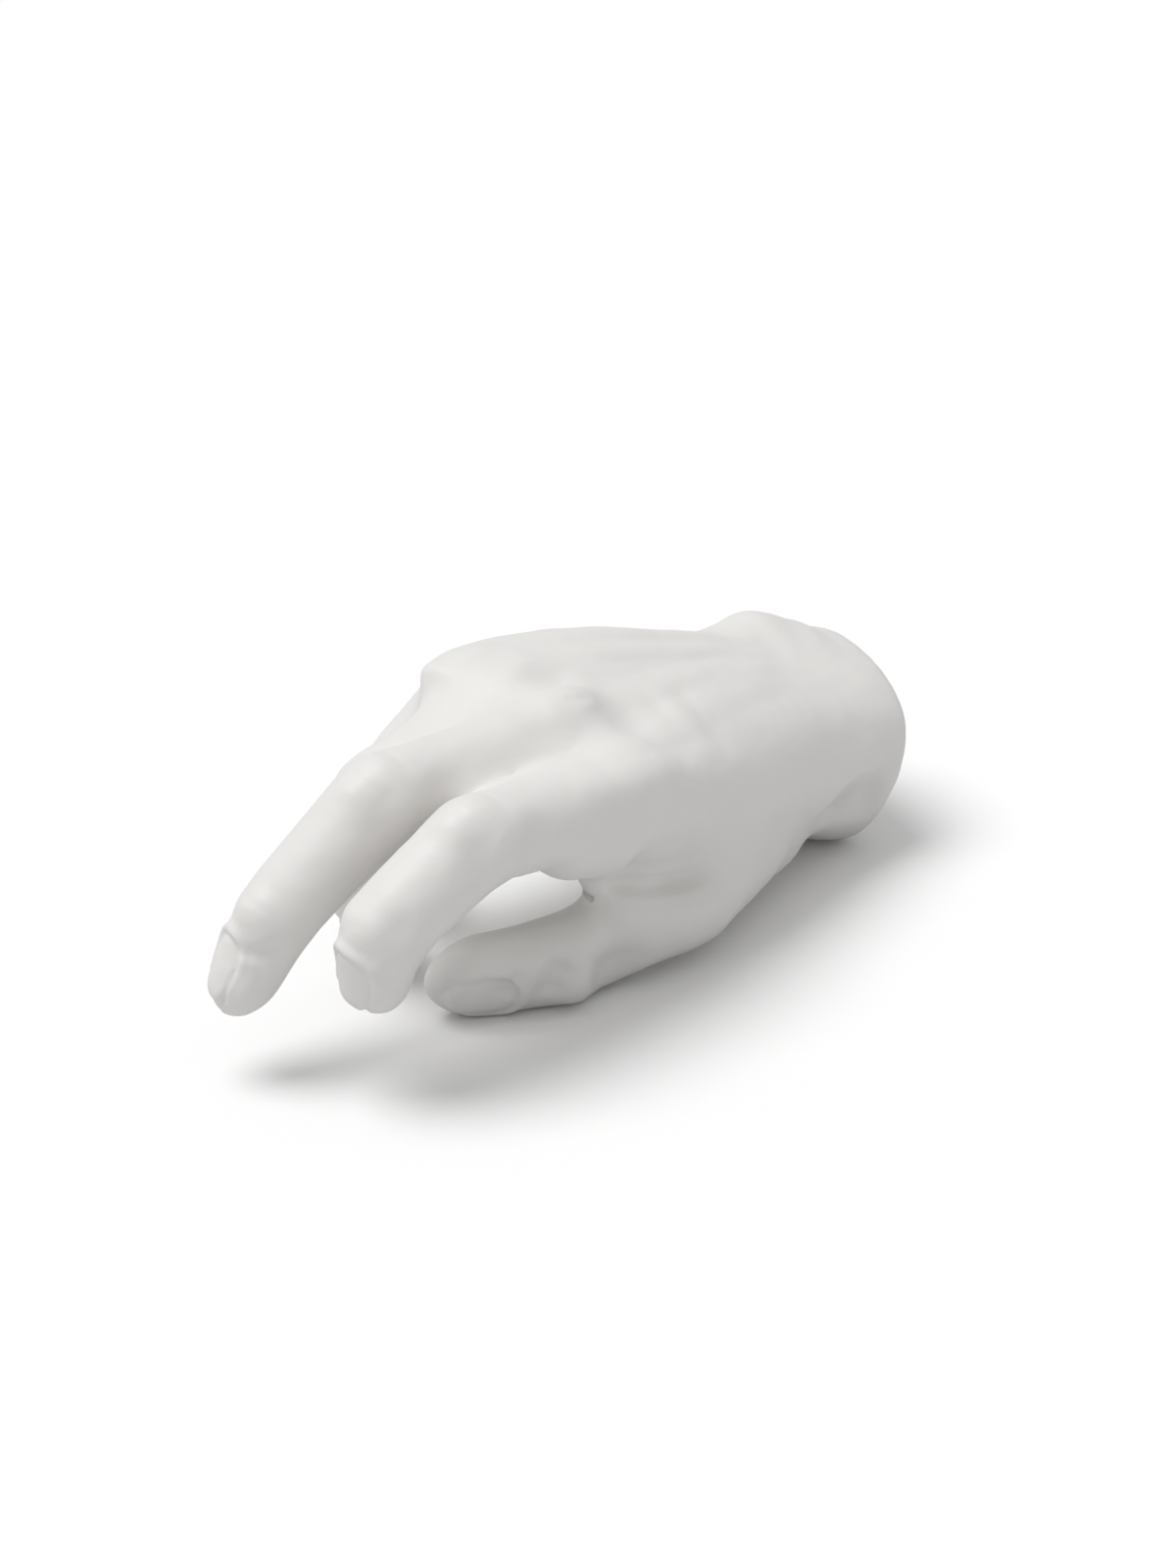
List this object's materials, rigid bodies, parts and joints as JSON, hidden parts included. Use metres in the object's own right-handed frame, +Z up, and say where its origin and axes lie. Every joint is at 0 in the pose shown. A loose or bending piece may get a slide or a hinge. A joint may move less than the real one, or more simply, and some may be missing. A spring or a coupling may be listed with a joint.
{
  "type": "hand sculpture",
  "caption": "Life-size porcelain right hand lying palm down, relaxed, on its thumb, its little fingertip and its wrist; a hollow cast ornament and paperweight.",
  "frame": {"origin": "on the floor, under the middle of the hand's bounding box", "axes": "+Z up from the floor, +X from the fingertips to the wrist, -Y the thumb's side"},
  "size_m": [0.21, 0.0922, 0.0713],
  "materials": {
    "bisque_porcelain": "matt unglazed",
    "luting_slip": "matt unglazed"
  },
  "bodies": {
    "root": {"palm_shell": "bisque_porcelain", "thumb_shell": "bisque_porcelain", "thumb_slip_joint": "luting_slip", "index_shell": "bisque_porcelain", "index_slip_joint": "luting_slip", "middle_shell": "bisque_porcelain", "middle_slip_joint": "luting_slip", "ring_shell": "bisque_porcelain", "ring_slip_joint": "luting_slip", "little_shell": "bisque_porcelain", "little_slip_joint": "luting_slip", "wrist_end_plate": "bisque_porcelain", "wrist_slip_joint": "luting_slip"}
  },
  "joints": []
}
